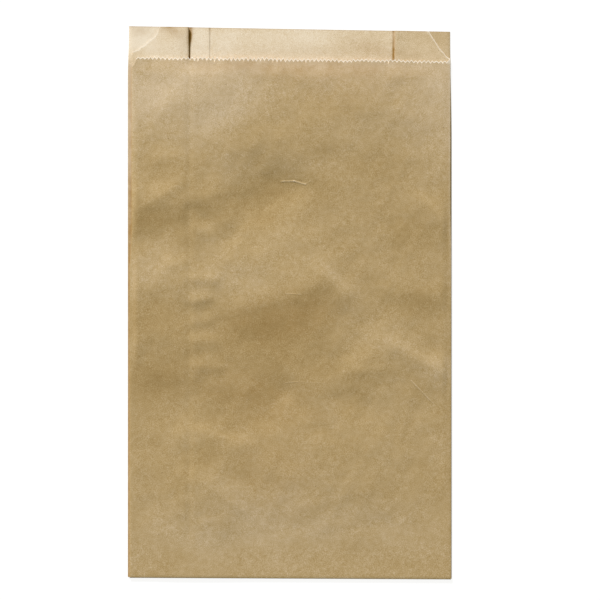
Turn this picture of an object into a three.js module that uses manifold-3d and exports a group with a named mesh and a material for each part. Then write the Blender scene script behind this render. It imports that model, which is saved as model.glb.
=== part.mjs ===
// A flat side-gusset paper bag, lying on its back as it comes off the pack. One sheet of brown kraft
// is folded into a tube with a pleat in each side, glued along a lap in the back, and closed at the
// bottom by a tab of the front that turns under and is glued to the back.
//
// Millimetres. X runs across the bag, Y towards its mouth, Z up from the surface it lies on.
// The origin is the middle of the outline, on that surface.

import * as THREE from "three";
import Module from "manifold-3d";

// Driving dimensions: the folded outline
const bagWidth = 180;
const bagLength = 307.6;
const lipHeight = 17.4; // the back's cut edge stands above the front's by this, at the left
const mouthSkew = 3.1; // the back's cut edge drops by this from left to right
const frontSkew = 2.3; // and the front's toothed edge by this
const bottomSkew = 0.9; // the bottom fold is higher by this at the left
const leftPleat = 33.9; // depth of each side pleat, from the bag's side to its inner fold
const rightPleat = 31.7;

// How far each side fold lies in from the full width, below and at the mouth, and where it changes
const backLeftLine = { below: 0, atMouth: 0.6, from: 126, over: 24 };
const backRightLine = { below: 0, atMouth: 0.8, from: 90, over: 60 };
const frontLeftLine = { below: 0.8, atMouth: 2.4, from: 16, over: 22 };
const frontRightLine = { below: 0.4, atMouth: 0.9, from: 20, over: 40 };

// Driving dimensions: the sheet, its glue and the air between its layers
const paper = 0.1;
const glueLine = 0.05; // thickness of the dried glue
const glueBite = 0.02; // how far it soaks into the layer on each side
const glueMargin = 1.2; // bare paper between the glue and an edge
const lapWidth = 12;
const seamInset = 45.4; // from the bag's left side to the lap's edge inside
const tabReach = 16.5; // how far the bottom tab comes up the back
const pressedGap = 0.07; // between layers at the bottom, which was pressed shut
const relaxedGap = 0.2; // between layers elsewhere, where the folds spring open
const pressedLength = 6;
const springLength = 50; // the layers open over this length
const tabSettle = 28; // over this length the back comes down from the tab
const lapSettle = 28; // and over this from each side of the lap

// Near the mouth the pleats' inner folds stand open, the front and all rising with them
const leftSpring = 0.5;
const rightSpring = 0.35;
const springWidth = 7;
const springReach = 30;

// Driving dimensions: the cut and torn edges at the mouth. The toothed cut stops short of each side,
// by the corner's run. On the left the front's corner is torn off below it, and on the right it
// stands up above it. From there each tear runs up a pleat's front layer, as shares of the way
// across and up to the back's cut edge.
const toothPitch = 2.3;
const toothDepth = 1.4;
const leftTear = {
  cornerRun: 2.7,
  cornerDrop: 5,
  cornerRise: 3.1,
  width: 15.5,
  path: [[0.02, 0], [0.28, 0.11], [0.58, 0.37], [0.85, 0.6], [0.95, 0.79], [1, 1]],
};
const rightTear = {
  cornerRun: 1.9,
  cornerRise: 1.5,
  width: 12.2,
  path: [[0, 0], [0.18, 0.1], [0.5, 0.38], [0.65, 0.58], [0.94, 0.92], [1, 1]],
};

// The front's soft swells, as hills and hollows on a low crown: the middle of each, its spread
// along and across its own direction, that direction in degrees, and its height
const crownHeight = 1.4;
const leastAir = 0.3;
const swells = [
  { x: -14, y: 4, along: 36, across: 20, turn: -6, height: 1.1 },
  { x: -6, y: 58, along: 18, across: 12, turn: 30, height: -0.9 },
  { x: -72, y: 62, along: 24, across: 9, turn: 12, height: 0.5 },
  { x: -80, y: 36, along: 18, across: 10, turn: 8, height: -0.7 },
  { x: -72, y: 6, along: 20, across: 10, turn: 0, height: 0.6 },
  { x: -78, y: -50, along: 20, across: 11, turn: 10, height: -0.6 },
  { x: -30, y: -64, along: 30, across: 11, turn: -6, height: -0.7 },
  { x: 66, y: -10, along: 22, across: 9, turn: -24, height: -0.6 },
  { x: 60, y: -30, along: 30, across: 7, turn: -26, height: 0.6 },
  { x: 42, y: -58, along: 16, across: 9, turn: -20, height: -0.5 },
  { x: 72, y: 32, along: 20, across: 9, turn: 0, height: -0.35 },
  { x: 14, y: -94, along: 46, across: 34, turn: -20, height: 0.7 },
  { x: 10, y: 96, along: 60, across: 16, turn: 4, height: 0.5 },
];
const sideFlat = 2; // the front lies flat on its pleats for this far in from each side
const sideRise = 16; // and comes up to its swells over this
const bottomRise = 34; // and over this above the pressed bottom

// The front dips beside each pleat's inner fold, which shows through it as a line
const dipDepth = 0.15;
const dipWidth = 3;

// How finely the sheet is divided
const sideFoldSteps = 4;
const bottomFoldSteps = 6;
const rowsUpFront = 30;
const rowsUpLip = 2;
const closeRows = 4; // the hidden layers have every row up to this one, and every other above it
const acrossPleat = 3;
const acrossPastTear = 2;
const acrossBackLeft = 4;
const acrossBackRight = 7;
const acrossFrontMiddle = 15;
const acrossFrontSide = 6;

// Places worked out from the driving dimensions
const halfSheet = paper / 2;
const leftSide = -bagWidth / 2;
const rightSide = bagWidth / 2;
const mouth = bagLength / 2;
const bottom = -bagLength / 2;
const seamInside = leftSide + seamInset;
const seamOutside = seamInside - lapWidth;
const leftFold = leftSide + leftPleat;
const rightFold = rightSide - rightPleat;
const gluedRise = paper + glueLine; // a layer glued on another lies this much higher

function ease(value) {
  const share = THREE.MathUtils.clamp(value, 0, 1);
  return share * share * (3 - 2 * share);
}
const lerp = THREE.MathUtils.lerp;
const acrossShare = (x) => (x - leftSide) / bagWidth;

// The cut edges and the bottom fold: how high each lies along the bag, at x
const backCut = (x) => mouth - mouthSkew * acrossShare(x);
const frontCut = (x) => mouth - lipHeight - frontSkew * acrossShare(x);
const bottomFold = (x) => bottom + bottomSkew * (1 - acrossShare(x));
const tabCut = (x) => bottomFold(x) + tabReach;

// How high the front reaches below its teeth: to their roots, and less at the torn left corner
function frontReach(x) {
  const fromFold = (x - leftSide - frontLeftLine.atMouth) / leftTear.cornerRun;
  const belowCut = lerp(leftTear.cornerDrop, toothDepth, THREE.MathUtils.clamp(fromFold, 0, 1));
  return frontCut(x) - belowCut;
}

// How high each layer lies at x, y, at the middle of the sheet's thickness
const tabLevel = halfSheet;
const onTab = (y) => 1 - ease((y - bottom - tabReach - toothDepth) / tabSettle);
function onLap(x) {
  const leftOfLap = ease((x - seamOutside) / lapSettle + 1);
  const rightOfLap = 1 - ease((x - seamInside) / lapSettle);
  return Math.min(leftOfLap, rightOfLap);
}
const outsideBack = (x, y) => tabLevel + gluedRise * onTab(y);
const insideBack = (x, y) => outsideBack(x, y) + gluedRise * onLap(x);

function layerPitch(x, y) {
  const open = ease((y - bottomFold(x) - pressedLength) / springLength);
  return paper + lerp(pressedGap, relaxedGap, open);
}

function hill(swell, x, y) {
  const turn = THREE.MathUtils.degToRad(swell.turn);
  const dx = x - swell.x;
  const dy = y - swell.y;
  const along = (dx * Math.cos(turn) + dy * Math.sin(turn)) / swell.along;
  const across = (dy * Math.cos(turn) - dx * Math.sin(turn)) / swell.across;
  return swell.height * Math.exp(-along * along - across * across);
}

function swellHeight(x, y) {
  let height = crownHeight;
  for (const swell of swells) height += hill(swell, x, y);
  for (const fold of [leftFold, rightFold]) {
    height -= dipDepth * Math.exp(-(((x - fold) / dipWidth) ** 2));
  }
  // No hollow comes closer to the layer below than the least air
  const above = height - leastAir;
  return leastAir + (above + Math.hypot(above, leastAir)) / 2;
}

function frontAir(x, y) {
  const fromSide = Math.min(x - leftSide, rightSide - x) - sideFlat;
  const fromBottom = y - bottomFold(x) - pressedLength;
  return ease(fromSide / sideRise) * ease(fromBottom / bottomRise) * swellHeight(x, y);
}

// How far the pleats' inner folds stand open at the mouth
function foldSpring(x, y) {
  const nearMouth = ease((y - mouth) / springReach + 1);
  const atLeft = leftSpring * Math.exp(-(((x - leftFold) / springWidth) ** 2));
  const atRight = rightSpring * Math.exp(-(((x - rightFold) / springWidth) ** 2));
  return (atLeft + atRight) * nearMouth;
}

const pleatBack = (x, y) => insideBack(x, y) + layerPitch(x, y);
const pleatFront = (x, y) => insideBack(x, y) + 2 * layerPitch(x, y) + foldSpring(x, y);
const frontLayer = (x, y) => pleatFront(x, y) + layerPitch(x, y) + frontAir(x, y);

// The bottom fold turns the front under, round the ends of the layers inside it
const bottomRadius = (x) => (frontLayer(x, bottomFold(x)) - tabLevel) / 2;
const foldStart = (x) => bottomFold(x) + halfSheet + bottomRadius(x);

// A sheet is a net of points at the middle of its thickness, each with the way its outer face looks
class Sheet {
  constructor() {
    this.points = [];
    this.normals = [];
    this.triangles = [];
  }

  add(point, normal) {
    this.points.push(point);
    this.normals.push(normal.normalize());
    return this.points.length - 1;
  }

  // A point of a layer that lies flat, facing up or down
  addOnLevel(x, y, level, facing) {
    const step = 0.25;
    const slopeX = (level(x + step, y) - level(x - step, y)) / (2 * step);
    const slopeY = (level(x, y + step) - level(x, y - step)) / (2 * step);
    const normal = new THREE.Vector3(-slopeX, -slopeY, 1).multiplyScalar(facing);
    return this.add(new THREE.Vector3(x, y, level(x, y)), normal);
  }

  // Fills the strip between two chains of points, each in the order of its values of `at`.
  // Seen from the outer face, the first chain is on the left and both run up.
  zip(left, right) {
    let i = 0;
    let j = 0;
    while (i < left.length - 1 || j < right.length - 1) {
      const nextLeft = i < left.length - 1 ? left[i + 1].at : Infinity;
      const nextRight = j < right.length - 1 ? right[j + 1].at : Infinity;
      const next = nextLeft <= nextRight ? left[i + 1] : right[j + 1];
      this.triangles.push([left[i].id, right[j].id, next.id]);
      if (next === left[i + 1]) i += 1;
      else j += 1;
    }
  }

  // The edges that only one triangle has, which run round the sheet's outline
  outline() {
    const edges = new Map();
    for (const [a, b, c] of this.triangles) {
      for (const [from, to] of [[a, b], [b, c], [c, a]]) {
        if (!edges.delete(`${to} ${from}`)) edges.set(`${from} ${to}`, [from, to]);
      }
    }
    return [...edges.values()];
  }

  // The closed solid of the sheet: its two faces, and the edge all round
  solid(wasm, thickness) {
    const count = this.points.length;
    const corners = [];
    for (const side of [1, -1]) {
      this.points.forEach((point, index) => {
        const corner = point.clone().addScaledVector(this.normals[index], (side * thickness) / 2);
        corners.push(corner.x, corner.y, corner.z);
      });
    }
    const faces = [];
    for (const [a, b, c] of this.triangles) {
      faces.push(a, b, c);
      faces.push(a + count, c + count, b + count);
    }
    for (const [from, to] of this.outline()) {
      faces.push(to, from, from + count);
      faces.push(to, from + count, to + count);
    }
    const vertProperties = new Float32Array(corners);
    const triVerts = new Uint32Array(faces);
    return new wasm.Manifold(new wasm.Mesh({ numProp: 3, vertProperties, triVerts }));
  }
}

// The tube's strip, in order from the lap's edge inside to its edge outside. Folds are half turns
// between two layers; side is -1 for a fold that turns at its left end, and 1 at its right.
function sideLine(line, side, y) {
  const inset = lerp(line.below, line.atMouth, ease((y - line.from) / line.over));
  return side * (rightSide - inset - halfSheet);
}

function makeFold(side, before, after, line) {
  const gap = (y) => after(line(y), y) - before(line(y), y);
  const radius = (y) => Math.abs(gap(y)) / 2;
  return { side, before, after, line, gap, radius, edge: (y) => line(y) - side * radius(y) };
}

const backLeftFold = makeFold(-1, insideBack, pleatBack, (y) => sideLine(backLeftLine, -1, y));
const leftPleatFold = makeFold(1, pleatBack, pleatFront, () => leftFold);
const frontLeftFold = makeFold(-1, pleatFront, frontLayer, (y) => sideLine(frontLeftLine, -1, y));
const frontRightFold = makeFold(1, frontLayer, pleatFront, (y) => sideLine(frontRightLine, 1, y));
const rightPleatFold = makeFold(-1, pleatFront, pleatBack, () => rightFold);
const backRightFold = makeFold(1, pleatBack, outsideBack, (y) => sideLine(backRightLine, 1, y));
const lapEdgeInside = { edge: () => seamInside };
const lapEdgeOutside = { edge: () => seamOutside };

// Each column of points follows the sheet from the bottom to its cut edge. The rows up to the tooth
// roots are common to all columns, and those above them stretch to the column's own height.
const allRows = Array.from({ length: rowsUpFront + 1 }, (_, row) => row);
const spareRows = allRows.filter((row) => row <= closeRows || (rowsUpFront - row) % 2 === 0);
const lipRows = Array.from({ length: rowsUpLip }, (_, step) => rowsUpFront + 1 + step);
const topRow = rowsUpFront + rowsUpLip;

function rowHeight(row, x, top) {
  if (row <= rowsUpFront) return lerp(foldStart(x), frontReach(x), row / rowsUpFront);
  return lerp(frontReach(x), top, (row - rowsUpFront) / rowsUpLip);
}

const placeBetween = (panel, share, y) => lerp(panel.from.edge(y), panel.to.edge(y), share);

function panelColumn(sheet, panel, share, rows, top) {
  const middle = placeBetween(panel, share, 0);
  return rows.map((row) => {
    const y = rowHeight(row, middle, top);
    const x = placeBetween(panel, share, y);
    return { at: row, id: sheet.addOnLevel(x, y, panel.level, panel.facing) };
  });
}

function foldColumn(sheet, fold, angle, rows, top) {
  const middle = fold.edge(0);
  return rows.map((row) => {
    const y = rowHeight(row, middle, top);
    const x = fold.edge(y) + fold.side * fold.radius(y) * Math.sin(angle);
    const z = fold.before(fold.line(y), y) + (fold.gap(y) * (1 - Math.cos(angle))) / 2;
    const up = Math.sign(fold.gap(y));
    const normal = new THREE.Vector3(-up * Math.sin(angle), 0, fold.side * Math.cos(angle));
    return { at: row, id: sheet.add(new THREE.Vector3(x, y, z), normal) };
  });
}

function foldColumns(sheet, fold, rows, top) {
  const steps = Array.from({ length: sideFoldSteps - 1 }, (_, step) => step + 1);
  return steps.map((step) => foldColumn(sheet, fold, (Math.PI * step) / sideFoldSteps, rows, top));
}

const evenShares = (count) => Array.from({ length: count + 1 }, (_, step) => step / count);
const fullRows = [...spareRows, ...lipRows];
const cutAbove = (panel, share) => backCut(placeBetween(panel, share, mouth));

// A plain panel of the back or of a pleat's back layer, up to the straight cut
function plainColumns(sheet, panel, count) {
  return evenShares(count).map((share) =>
    panelColumn(sheet, panel, share, fullRows, cutAbove(panel, share)));
}

// A pleat's front layer, from the front's fold inwards: torn off at the corner, then cut straight
function tornColumns(sheet, panel, tear, corner) {
  const torn = tear.width / Math.abs(panel.to.edge(mouth) - panel.from.edge(mouth));
  const columns = tear.path.map(([across, up]) => {
    const share = across * torn;
    const top = lerp(corner, cutAbove(panel, share), up);
    return panelColumn(sheet, panel, share, fullRows, top);
  });
  for (const past of evenShares(acrossPastTear).slice(1)) {
    const share = lerp(torn, 1, past);
    columns.push(panelColumn(sheet, panel, share, fullRows, cutAbove(panel, share)));
  }
  return columns;
}

// Below its first row the front turns under and runs back up as the tab. Rows count down from 0.
function tabColumn(sheet, x, inset) {
  const radius = bottomRadius(x);
  const points = [];
  for (let step = 1; step <= bottomFoldSteps; step += 1) {
    const angle = (Math.PI * step) / bottomFoldSteps;
    const y = foldStart(x) - radius * Math.sin(angle);
    const z = tabLevel + radius * (1 + Math.cos(angle));
    const normal = new THREE.Vector3(0, -Math.sin(angle), Math.cos(angle));
    points.push({ at: -step, id: sheet.add(new THREE.Vector3(x, y, z), normal) });
  }
  const roots = new THREE.Vector3(x + inset, tabCut(x) - toothDepth, tabLevel);
  points.push({ at: -bottomFoldSteps - 1, id: sheet.add(roots, new THREE.Vector3(0, 0, -1)) });
  return points.reverse();
}

// The front's columns stand closer beside the pleats' inner folds
function frontShares(panel) {
  const from = panel.from.edge(0);
  const to = panel.to.edge(0);
  const zones = [
    [from, leftFold - dipWidth, acrossFrontSide],
    [leftFold - dipWidth, leftFold + dipWidth, 2],
    [leftFold + dipWidth, rightFold - dipWidth, acrossFrontMiddle],
    [rightFold - dipWidth, rightFold + dipWidth, 2],
    [rightFold + dipWidth, to, acrossFrontSide],
  ];
  const places = zones.flatMap(([start, end, count]) =>
    evenShares(count).slice(0, -1).map((share) => lerp(start, end, share)));
  return [...places, to].map((place) => (place - from) / (to - from));
}

// A toothed edge is a zigzag about its line, with shallower teeth towards the ends
function toothedEdge(sheet, from, to, line, level, facing) {
  const count = Math.round((to - from) / toothPitch);
  const shallowing = 0.35;
  return evenShares(2 * count).map((share, half) => {
    const x = lerp(from, to, share);
    const depth = toothDepth * (1 - shallowing * (2 * share - 1) ** 2);
    const y = line(x) + (half % 2 === 0 ? -depth : depth) / 2;
    return { at: x, id: sheet.addOnLevel(x, y, level, facing) };
  });
}

// The front, its toothed edge at the mouth and the toothed tab under the bottom
function frontColumns(sheet, panel, cornerRight) {
  const shares = frontShares(panel);
  const last = shares.length - 1;
  const ends = new Map([
    [0, { rows: spareRows, inset: leftTear.cornerRun }],
    [last, { rows: [...spareRows, topRow], inset: -rightTear.cornerRun }],
  ]);
  const columns = shares.map((share, index) => {
    const { rows, inset } = ends.get(index) ?? { rows: allRows, inset: 0 };
    const upper = panelColumn(sheet, panel, share, rows, cornerRight);
    const x = placeBetween(panel, share, bottom);
    return [...tabColumn(sheet, x, inset), ...upper];
  });

  const withX = ({ id }) => ({ at: sheet.points[id].x, id });
  const net = columns.map((column) => column.filter(({ at }) => at <= rowsUpFront));
  for (let index = 0; index < last; index += 1) sheet.zip(net[index], net[index + 1]);

  const roots = net.map((column) => withX(column.at(-1)));
  const corner = withX(columns[last].at(-1));
  const teeth = toothedEdge(
    sheet, roots[0].at + ends.get(0).inset, corner.at + ends.get(last).inset, frontCut, frontLayer, 1,
  );
  sheet.zip([...teeth, corner], roots);

  const tabRoots = net.map((column) => withX(column[0]));
  const tabTeeth = toothedEdge(
    sheet, tabRoots[0].at, tabRoots[last].at, tabCut, () => tabLevel, -1,
  );
  sheet.zip(tabRoots, tabTeeth);

  // Only the ends join the side folds, and the tab doesn't
  return [columns[0], columns[last]].map((column) => column.filter(({ at }) => at >= 0));
}

// A layer of glue that fills the gap between two flat layers, from one x to another
function gluePlate(wasm, from, to, heights, level) {
  const sheet = new Sheet();
  const columns = [from, to].map((x) =>
    heights(x).map((y, at) => ({ at, id: sheet.addOnLevel(x, y, level, 1) })));
  sheet.zip(columns[0], columns[1]);
  return sheet.solid(wasm, glueLine + 2 * glueBite);
}

function makeTube(sheet) {
  const backLeft = { from: lapEdgeInside, to: backLeftFold, level: insideBack, facing: -1 };
  const leftPleatBack = { from: backLeftFold, to: leftPleatFold, level: pleatBack, facing: 1 };
  const leftPleatFront = { from: frontLeftFold, to: leftPleatFold, level: pleatFront, facing: -1 };
  const front = { from: frontLeftFold, to: frontRightFold, level: frontLayer, facing: 1 };
  const rightPleatFront = { from: frontRightFold, to: rightPleatFold, level: pleatFront, facing: -1 };
  const rightPleatBack = { from: rightPleatFold, to: backRightFold, level: pleatBack, facing: 1 };
  const backRight = { from: backRightFold, to: lapEdgeOutside, level: outsideBack, facing: -1 };

  const cornerLeft = frontCut(leftSide) + leftTear.cornerRise;
  const cornerRight = frontCut(rightSide) + rightTear.cornerRise;
  const cutAtFold = (fold) => backCut(fold.line(mouth));
  const rightCornerRows = [...spareRows, topRow];
  const [frontStart, frontEnd] = frontColumns(sheet, front, cornerRight);

  const leftHalf = [
    ...plainColumns(sheet, backLeft, acrossBackLeft),
    ...foldColumns(sheet, backLeftFold, fullRows, cutAtFold(backLeftFold)),
    ...plainColumns(sheet, leftPleatBack, acrossPleat),
    ...foldColumns(sheet, leftPleatFold, fullRows, cutAtFold(leftPleatFold)),
    ...tornColumns(sheet, leftPleatFront, leftTear, cornerLeft).reverse(),
    panelColumn(sheet, leftPleatFront, 0, spareRows, cornerLeft),
    ...foldColumns(sheet, frontLeftFold, spareRows, cornerLeft),
    frontStart,
  ];
  const rightHalf = [
    frontEnd,
    ...foldColumns(sheet, frontRightFold, rightCornerRows, cornerRight),
    ...tornColumns(sheet, rightPleatFront, rightTear, cornerRight),
    ...foldColumns(sheet, rightPleatFold, fullRows, cutAtFold(rightPleatFold)),
    ...plainColumns(sheet, rightPleatBack, acrossPleat),
    ...foldColumns(sheet, backRightFold, fullRows, cutAtFold(backRightFold)),
    ...plainColumns(sheet, backRight, acrossBackRight),
  ];
  for (const half of [leftHalf, rightHalf]) {
    for (let index = 0; index < half.length - 1; index += 1) sheet.zip(half[index], half[index + 1]);
  }
}

async function makeBag() {
  const wasm = await Module();
  wasm.setup();
  const sheet = new Sheet();
  makeTube(sheet);

  const underLap = (x, y) => outsideBack(x, y) + gluedRise / 2;
  const lapHeights = (x) => {
    const heights = fullRows.map((row) => rowHeight(row, x, backCut(x)));
    heights[0] += glueMargin;
    heights[heights.length - 1] -= glueMargin;
    return heights;
  };
  const underBack = () => tabLevel + gluedRise / 2;
  const tabHeights = (x) => [foldStart(x) + glueMargin, tabCut(x) - toothDepth - glueMargin];
  const tabStart = leftSide + leftTear.cornerRun + glueMargin;
  const tabEnd = rightSide - rightTear.cornerRun - glueMargin;

  return sheet
    .solid(wasm, paper)
    .add(gluePlate(wasm, seamOutside + glueMargin, seamInside - glueMargin, lapHeights, underLap))
    .add(gluePlate(wasm, tabStart, seamOutside - lapSettle, tabHeights, underBack))
    .add(gluePlate(wasm, seamOutside + glueMargin, tabEnd, tabHeights, underBack));
}

function toGeometry(solid) {
  const { vertProperties, triVerts } = solid.getMesh();
  const geometry = new THREE.BufferGeometry();
  geometry.setAttribute("position", new THREE.BufferAttribute(vertProperties, 3));
  geometry.setIndex(new THREE.BufferAttribute(triVerts, 1));
  geometry.computeVertexNormals();
  return geometry;
}

const kraft = new THREE.MeshStandardMaterial({ color: 0xb1996f, roughness: 0.85, metalness: 0 });
const paperBag = new THREE.Mesh(toGeometry(await makeBag()), kraft);
paperBag.name = "paper_bag";

const part = new THREE.Group();
part.add(paperBag);

export default part;
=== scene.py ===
# %% [markdown]
# # A flat paper bag
#
# The real object is a light brown counter bag, lying on its back as it comes off the pack. One sheet
# of kraft is folded into a tube with a pleat in each side, lapped and glued down the back, and closed
# at the bottom by a tab that turns under. Its mouth is cut with fine teeth.
#
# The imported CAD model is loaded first, as a fixed frame. Everything below is laid over it, in the
# same place and at the same size.

import math

import bpy
import numpy as np
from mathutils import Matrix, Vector


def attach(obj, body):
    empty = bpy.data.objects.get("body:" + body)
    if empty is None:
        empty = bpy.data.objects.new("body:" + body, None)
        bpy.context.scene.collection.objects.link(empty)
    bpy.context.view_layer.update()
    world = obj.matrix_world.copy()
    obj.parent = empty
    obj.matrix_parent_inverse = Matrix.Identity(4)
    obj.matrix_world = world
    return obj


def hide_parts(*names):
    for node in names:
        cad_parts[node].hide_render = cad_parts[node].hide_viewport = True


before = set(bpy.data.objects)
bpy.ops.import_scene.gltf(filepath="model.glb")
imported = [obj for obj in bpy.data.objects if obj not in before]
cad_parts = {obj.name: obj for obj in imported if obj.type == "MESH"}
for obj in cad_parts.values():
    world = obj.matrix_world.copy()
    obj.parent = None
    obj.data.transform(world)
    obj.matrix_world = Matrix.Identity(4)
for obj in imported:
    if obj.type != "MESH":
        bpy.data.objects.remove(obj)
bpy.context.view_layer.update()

# %% [markdown]
# ## Where the camera stands
#
# The photograph looks straight down, so the camera hangs over the bag and its picture is the plan.
# A long lens from over a metre away keeps the raised front from growing. The bag lies a little left
# of the picture's middle, so the camera is moved, not the bag.

# %% Camera
MM = 0.001
view_width = 333.7 * MM
camera_height = 1.4
camera_place = (5.7 * MM, 1.56 * MM, camera_height)

camera_data = bpy.data.cameras.new("overhead_camera")
camera_data.sensor_width = 36
camera_data.lens = camera_data.sensor_width * camera_height / view_width
camera = bpy.data.objects.new("overhead_camera", camera_data)
camera.location = camera_place
bpy.context.collection.objects.link(camera)
bpy.context.scene.camera = camera
bpy.context.scene.view_settings.view_transform = "Standard"
print("lens in mm:", round(camera_data.lens, 1))

# %% [markdown]
# ## Shader maths as Python
#
# A material is a tree of nodes. Building one by hand takes a line for each node and each link, which
# hides the idea. Here a socket is wrapped, so that `1 - mask` adds its own Math node, and every other
# kind of node comes from one method.

# %% Sockets that can be added and multiplied
class Value:
    """The output of a node, which can stand in an expression."""

    def __init__(self, tree, socket):
        self.tree = tree
        self.socket = socket

    def _math(self, operation, first, second):
        return self.tree.node("ShaderNodeMath", {"operation": operation}, {0: first, 1: second})

    def __add__(self, other):
        return self._math("ADD", self, other)

    def __radd__(self, other):
        return self._math("ADD", other, self)

    def __sub__(self, other):
        return self._math("SUBTRACT", self, other)

    def __rsub__(self, other):
        return self._math("SUBTRACT", other, self)

    def __mul__(self, other):
        return self._math("MULTIPLY", self, other)

    def __rmul__(self, other):
        return self._math("MULTIPLY", other, self)


class Finish:
    """A material's tree of nodes."""

    def __init__(self, name):
        self.material = bpy.data.materials.new(name)
        self.material.use_nodes = True
        self.nodes = self.material.node_tree.nodes
        self.links = self.material.node_tree.links
        self.nodes.clear()

    def node(self, kind, settings=None, sockets=None, output=0):
        """Adds a node: its settings first, then the values or links of its sockets."""
        made = self.nodes.new(kind)
        for name, value in (settings or {}).items():
            if name == "stops":
                while len(made.color_ramp.elements) < len(value):
                    made.color_ramp.elements.new(0.5)
                for element, (place, colour) in zip(made.color_ramp.elements, value):
                    element.position = place
                    element.color = colour
            else:
                setattr(made, name, value)
        for name, value in (sockets or {}).items():
            if isinstance(value, Value):
                self.links.new(value.socket, made.inputs[name])
            else:
                made.inputs[name].default_value = value
        return Value(self, made.outputs[output])

    def mix(self, share, first, second):
        """A colour between two colours."""
        return self.node("ShaderNodeMix", {"data_type": "RGBA"}, {0: share, 6: first, 7: second}, 2)

    def mark(self, name):
        """A number that each point of the mesh carries."""
        return self.node("ShaderNodeAttribute", {"attribute_name": name}, {}, "Fac")

    def noise(self, place, size, detail=2.0, roughness=0.5):
        """Soft noise around 0, with lumps of about this size in metres."""
        sockets = {"Vector": place, "Scale": 1 / size, "Detail": detail, "Roughness": roughness}
        return self.node("ShaderNodeTexNoise", {}, sockets) - 0.5

    def finish(self, shader):
        """Links the shader to the material's output."""
        out = self.nodes.new("ShaderNodeOutputMaterial")
        self.links.new(shader.socket, out.inputs["Surface"])
        return self.material


def linear(red, green, blue):
    """A colour as a screen shows it, 0 to 255, as the light that Blender reckons with."""
    levels = [channel / 255 for channel in (red, green, blue)]
    return [v / 12.92 if v <= 0.04045 else ((v + 0.055) / 1.055) ** 2.4 for v in levels] + [1.0]


# %% [markdown]
# ## The light
#
# The photograph's light comes low from the upper left: slopes that face it are pale, and each pleat's
# fold throws a thin shadow to its right. One soft sun gives that, and a surround fills the shadows. As
# in the photograph, the sun is a little cool and the fill a little warm, so that slopes in the shade
# turn golden. Together they light a flat surface to the colour that its material is given.

# %% Sun and surround
sun_share = 0.76
sun_height = math.radians(17)
sun_turn = math.radians(20)
warm_fill = (1.04, 1.0, 0.62)
cool_sun = [(1 - (1 - sun_share) * fill) / sun_share for fill in warm_fill]
towards_sun = Vector((
    -math.sin(sun_turn) * math.cos(sun_height),
    math.cos(sun_turn) * math.cos(sun_height),
    math.sin(sun_height),
))

sun_data = bpy.data.lights.new("window_light", "SUN")
sun_data.energy = sun_share * math.pi / towards_sun.z
sun_data.angle = math.radians(9)
sun_data.color = cool_sun
sun = bpy.data.objects.new("window_light", sun_data)
sun.rotation_euler = towards_sun.to_track_quat("Z", "Y").to_euler()
bpy.context.collection.objects.link(sun)

world = bpy.data.worlds.new("white_surround")
bpy.context.scene.world = world
world.use_nodes = True
world_nodes = world.node_tree.nodes
world_links = world.node_tree.links
world_nodes.clear()
ray = world_nodes.new("ShaderNodeLightPath")
seen = world_nodes.new("ShaderNodeMath")
seen.operation = "MAXIMUM"
seen_too = world_nodes.new("ShaderNodeMath")
seen_too.operation = "MAXIMUM"
strength = world_nodes.new("ShaderNodeMath")
strength.operation = "MULTIPLY_ADD"
strength.inputs[1].default_value = sun_share
strength.inputs[2].default_value = 1 - sun_share
tint = world_nodes.new("ShaderNodeMix")
tint.data_type = "RGBA"
tint.inputs[6].default_value = (*warm_fill, 1)
tint.inputs[7].default_value = (1, 1, 1, 1)
background = world_nodes.new("ShaderNodeBackground")
world_out = world_nodes.new("ShaderNodeOutputWorld")
world_links.new(ray.outputs["Is Camera Ray"], seen.inputs[0])
world_links.new(ray.outputs["Is Glossy Ray"], seen.inputs[1])
world_links.new(seen.outputs[0], seen_too.inputs[0])
world_links.new(ray.outputs["Is Transmission Ray"], seen_too.inputs[1])
world_links.new(seen_too.outputs[0], strength.inputs[0])
world_links.new(strength.outputs[0], background.inputs["Strength"])
world_links.new(seen_too.outputs[0], tint.inputs[0])
world_links.new(tint.outputs[2], background.inputs["Color"])
world_links.new(background.outputs[0], world_out.inputs["Surface"])
print("sun strength:", round(sun_data.energy, 2))

# %% [markdown]
# ## The floor
#
# The bag lies on a plain white floor. To the camera the floor glows a little, so that it comes out
# white, and it still takes the bag's shadow.

# %% Floor
floor_half = 3.0
floor_mesh = bpy.data.meshes.new("floor")
floor_mesh.from_pydata(
    [(-floor_half, -floor_half, 0), (floor_half, -floor_half, 0),
     (floor_half, floor_half, 0), (-floor_half, floor_half, 0)],
    [], [(0, 1, 2, 3)],
)
floor = bpy.data.objects.new("floor", floor_mesh)
floor.location.z = -0.01 * MM
bpy.context.collection.objects.link(floor)

white_floor = Finish("white_floor")
matt = white_floor.node("ShaderNodeBsdfDiffuse", {}, {"Color": (0.8, 0.8, 0.8, 1)})
pale = white_floor.node("ShaderNodeBsdfDiffuse", {}, {"Color": (0.14, 0.14, 0.14, 1)})
glow = white_floor.node("ShaderNodeEmission", {}, {"Strength": 0.9})
lit = white_floor.node("ShaderNodeAddShader", {}, {0: pale, 1: glow})
to_camera = white_floor.node("ShaderNodeLightPath")
floor_shader = white_floor.node("ShaderNodeMixShader", {}, {0: to_camera, 1: matt, 2: lit})
floor_mesh.materials.append(white_floor.finish(floor_shader))

# %% [markdown]
# ## The bag's sizes
#
# These are the CAD model's own sizes, in millimetres, so that the detailed sheet lies where the solid
# does: the outline, the pleats, the lap and the tab, and the places where each side fold steps in.

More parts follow.
